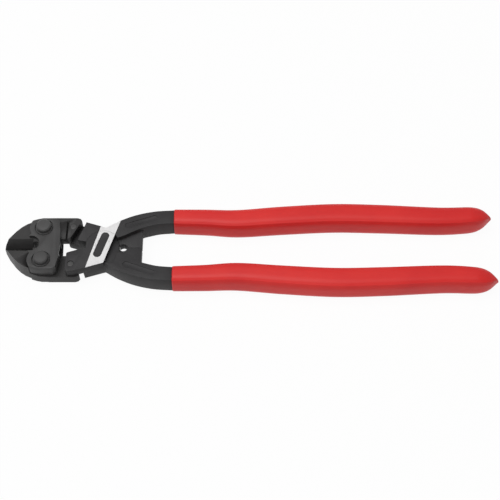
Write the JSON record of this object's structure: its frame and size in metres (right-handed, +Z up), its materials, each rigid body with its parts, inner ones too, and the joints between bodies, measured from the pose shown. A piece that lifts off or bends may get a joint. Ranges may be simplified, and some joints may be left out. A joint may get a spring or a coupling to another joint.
{
  "type": "bolt cutters",
  "caption": "Compact compound-action bolt cutters: short bevelled jaws between two cover plates, worked by two hinged levers with dipped plastic grips.",
  "frame": {"origin": "centre of the underside of the closed tool lying flat, on the surface it lies on", "axes": "+X along the tool from the jaws to the ends of the grips, +Y across the handles to the upper lever, +Z up through the thickness"},
  "size_m": [0.25, 0.0512, 0.016],
  "materials": {
    "forged_steel": "satin black forged finish, ground bright on the hub",
    "jaw_steel": "satin black oxide",
    "cover_steel": "satin black oxide",
    "bolt_steel": "satin black",
    "pivot_steel": "ground flush",
    "pin_steel": "blackened",
    "grip_plastic": "dipped plastic, soft gloss"
  },
  "bodies": {
    "lower_handle": {"lower_lever": "forged_steel", "lower_grip": "grip_plastic", "main_pivot_pin": "pivot_steel"},
    "upper_handle": {"upper_lever": "forged_steel", "upper_grip": "grip_plastic"},
    "lower_jaw": {"lower_jaw": "jaw_steel", "lower_link_pin": "pin_steel"},
    "head": {"front_cover": "cover_steel", "back_cover": "cover_steel", "lower_jaw_bolt": "bolt_steel", "upper_jaw_bolt": "bolt_steel", "lower_bolt_nut": "bolt_steel", "upper_bolt_nut": "bolt_steel"},
    "upper_jaw": {"upper_jaw": "jaw_steel", "upper_link_pin": "pin_steel"}
  },
  "joints": [
    {"name": "handle_hinge", "type": "hinge", "parent": "lower_handle", "child": "upper_handle", "pos_m": [-0.0749, 0, 0.0068], "axis": [0, 0, 1], "range_deg": [0, 22]},
    {"name": "lower_link_hinge", "type": "hinge", "parent": "lower_handle", "child": "lower_jaw", "pos_m": [-0.0905, -0.011, 0.0068], "axis": [0, 0, 1], "range_deg": [0, 23.4]},
    {"name": "lower_jaw_hinge", "type": "hinge", "parent": "lower_jaw", "child": "head", "pos_m": [-0.1052, -0.0095, 0.0068], "axis": [0, 0, 1], "range_deg": [-12.4, 0]},
    {"name": "upper_jaw_hinge", "type": "hinge", "parent": "head", "child": "upper_jaw", "pos_m": [-0.1052, 0.0095, 0.0068], "axis": [0, 0, 1], "range_deg": [-12.4, 0]}
  ],
  "couplings": [
    {"joint": "lower_link_hinge", "follows": "handle_hinge", "ratio": 1.061},
    {"joint": "lower_jaw_hinge", "follows": "handle_hinge", "ratio": -0.561},
    {"joint": "upper_jaw_hinge", "follows": "handle_hinge", "ratio": -0.561}
  ]
}
